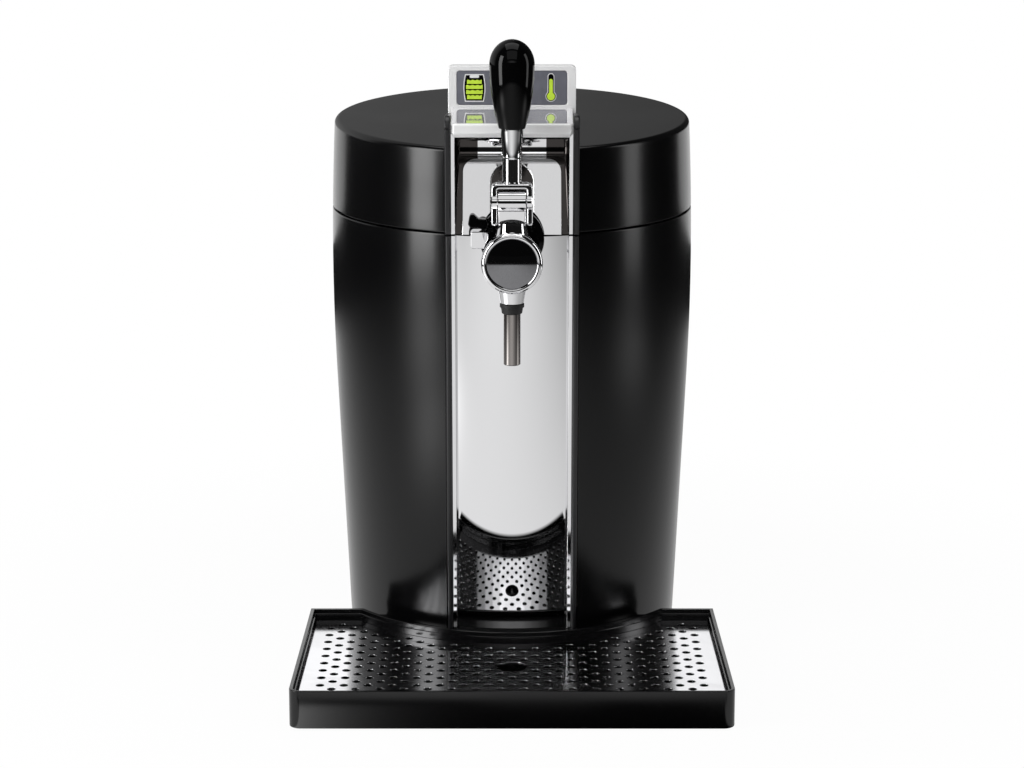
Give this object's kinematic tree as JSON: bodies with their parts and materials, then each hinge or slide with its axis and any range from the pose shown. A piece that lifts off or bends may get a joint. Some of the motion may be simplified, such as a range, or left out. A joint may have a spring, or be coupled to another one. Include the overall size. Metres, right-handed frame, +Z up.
{
  "type": "mini keg beer dispenser",
  "caption": "Barrel-shaped counter-top keg cooler with a hinged lid, lever tap, mirror column, small display and a slide-off drip tray with a perforated grid.",
  "frame": {"origin": "bottom centre of the whole part's box, on the surface it stands on", "axes": "+X to the right seen from the front, -Y towards the person drawing beer, +Z up"},
  "size_m": [0.315, 0.49, 0.474],
  "materials": {
    "shell_black": "fine matte texture",
    "rail_grey": "dark grey satin",
    "inner_black": "plain moulded",
    "tray_black": "semi-gloss moulded",
    "gloss_black": "high gloss",
    "chrome": "bright plated",
    "mirror_steel": "polished",
    "steel": "polished stainless",
    "aluminium": "plain",
    "rubber": "matte",
    "foam": "moulded foam",
    "ceramic": "ceramic",
    "circuit_green": "solder mask",
    "core_iron": "wound core",
    "smoked_window": "smoked clear",
    "symbol_green": "printed green",
    "clear_hose": "food-grade hose",
    "white_plastic": "moulded"
  },
  "bodies": {
    "housing": {"base_plate": "shell_black", "rubber_feet": "rubber", "base_screws": "steel", "drum_shell": "shell_black", "column_frame": "rail_grey", "column_beads": "chrome", "column_panel": "mirror_steel", "rim_deck": "inner_black", "keg_well": "aluminium", "insulation_jacket": "foam", "rear_housing": "shell_black", "rear_grille": "inner_black", "cold_block": "aluminium", "peltier_module": "ceramic", "heat_sink": "aluminium", "fan_frame": "inner_black", "power_board": "circuit_green", "transformer": "core_iron", "power_inlet": "inner_black", "switch_body": "inner_black", "temperature_probe": "steel", "hinge_brackets": "inner_black", "hinge_pin": "steel", "latch_socket": "inner_black"},
    "lid": {"lid_shell": "shell_black", "lid_liner": "inner_black", "lid_foam": "foam", "lid_gasket": "rubber", "hinge_arms": "inner_black", "latch_post": "inner_black", "front_cheeks": "rail_grey", "tap_niche": "chrome", "display_nose": "chrome", "display_bezel": "chrome", "display_window": "smoked_window", "display_symbols": "symbol_green", "display_board": "circuit_green", "display_cover": "shell_black", "tap_collar": "gloss_black", "tap_shank": "chrome", "tap_body": "chrome", "tap_ring": "chrome", "tap_cap": "gloss_black", "spout_seal": "rubber", "spout_tube": "steel", "beer_line": "clear_hose", "keg_coupler": "inner_black", "pivot_pin": "chrome", "catch_pin": "gloss_black", "pinch_spring": "steel"},
    "lever": {"lever_yoke": "chrome", "lever_stem": "chrome", "lever_knob": "gloss_black"},
    "plunger": {"pinch_plunger": "white_plastic"},
    "catch": {"release_catch": "gloss_black"},
    "tray": {"drip_tray": "tray_black"},
    "grid": {"drip_grid": "steel"},
    "fan": {"fan_rotor": "inner_black"},
    "switch": {"switch_rocker": "gloss_black"}
  },
  "joints": [
    {"name": "lid_hinge", "type": "hinge", "parent": "housing", "child": "lid", "pos_m": [0, 0.178, 0.331], "axis": [-1, 0, 0], "range_deg": [0, 80]},
    {"name": "lever_pivot", "type": "hinge", "parent": "lid", "child": "lever", "pos_m": [0, -0.13205, 0.358], "axis": [1, 0, 0], "range_deg": [0, 55]},
    {"name": "plunger_lift", "type": "slide", "parent": "lid", "child": "plunger", "axis": [0, 0, 1], "range_m": [0, 0.003], "deforming": ["pinch_spring"]},
    {"name": "catch_lift", "type": "hinge", "parent": "lid", "child": "catch", "pos_m": [-0.021, -0.11435, 0.339], "axis": [0, 1, 0], "range_deg": [0, 35], "stiffness_Nm_per_rad": 0.02},
    {"name": "tray_slide", "type": "slide", "parent": "housing", "child": "tray", "axis": [0, -1, 0], "range_m": [0, 0.12]},
    {"name": "grid_lift", "type": "slide", "parent": "tray", "child": "grid", "axis": [0, 0, 1], "range_m": [0, 0.05]},
    {"name": "fan_spin", "type": "hinge", "parent": "housing", "child": "fan", "pos_m": [0, 0.2048, 0.2], "axis": [0, 1, 0], "continuous": true},
    {"name": "switch_rock", "type": "hinge", "parent": "housing", "child": "switch", "pos_m": [-0.062, 0.238, 0.062], "axis": [-1, 0, 0], "range_deg": [0, 12]}
  ],
  "couplings": [
    {"joint": "plunger_lift", "follows": "lever_pivot", "m_per_rad": 0.003125}
  ]
}
